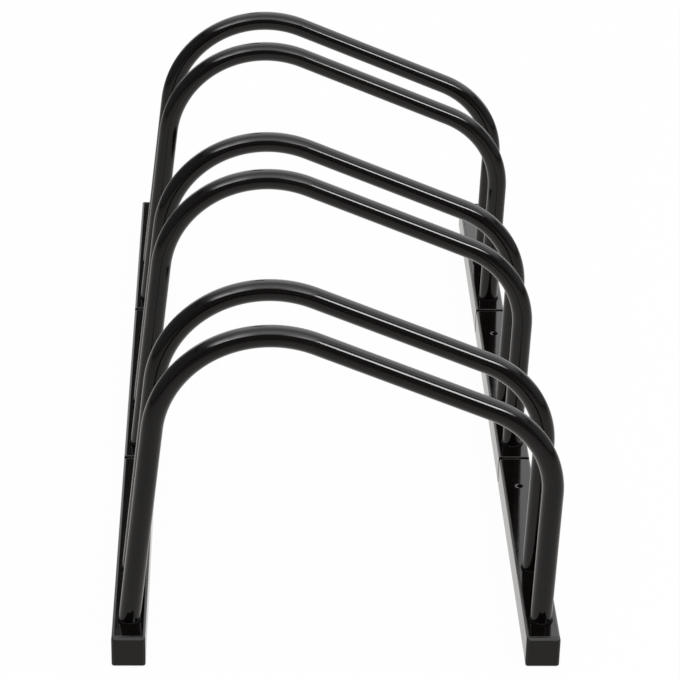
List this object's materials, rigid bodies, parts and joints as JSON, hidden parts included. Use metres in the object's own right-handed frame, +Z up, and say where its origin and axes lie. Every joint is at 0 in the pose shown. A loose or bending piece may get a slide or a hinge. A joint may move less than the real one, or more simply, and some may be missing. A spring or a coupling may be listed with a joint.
{
  "type": "floor bike stand",
  "caption": "Low floor stand that parks bicycles by the wheel, with square-tube rails and sloping bent-tube hoops in pairs.",
  "frame": {"origin": "on the floor, at the centre of the stand's length and width", "axes": "+Z up from the floor, +Y along the rails from the front end to the rear, +X across towards the low side of the hoops"},
  "size_m": [0.33, 0.75, 0.27],
  "materials": {
    "powder_coated_steel": "gloss black powder coat",
    "cap_plastic": "satin black moulded plastic"
  },
  "bodies": {
    "front_section": {"front_left_rail": "powder_coated_steel", "front_right_rail": "powder_coated_steel", "front_first_hoop": "powder_coated_steel", "front_second_hoop": "powder_coated_steel", "front_welds": "powder_coated_steel", "front_left_spigot": "powder_coated_steel", "front_right_spigot": "powder_coated_steel", "front_left_cap": "cap_plastic", "front_right_cap": "cap_plastic"},
    "middle_section": {"middle_left_rail": "powder_coated_steel", "middle_right_rail": "powder_coated_steel", "middle_first_hoop": "powder_coated_steel", "middle_second_hoop": "powder_coated_steel", "middle_welds": "powder_coated_steel", "middle_left_spigot": "powder_coated_steel", "middle_right_spigot": "powder_coated_steel"},
    "rear_section": {"rear_left_rail": "powder_coated_steel", "rear_right_rail": "powder_coated_steel", "rear_first_hoop": "powder_coated_steel", "rear_second_hoop": "powder_coated_steel", "rear_welds": "powder_coated_steel", "rear_left_cap": "cap_plastic", "rear_right_cap": "cap_plastic"}
  },
  "joints": [
    {"name": "middle_section_slide", "type": "slide", "parent": "front_section", "child": "middle_section", "axis": [0, 1, 0], "range_m": [-0.003, 0.04]},
    {"name": "rear_section_slide", "type": "slide", "parent": "middle_section", "child": "rear_section", "axis": [0, 1, 0], "range_m": [-0.003, 0.04]}
  ]
}
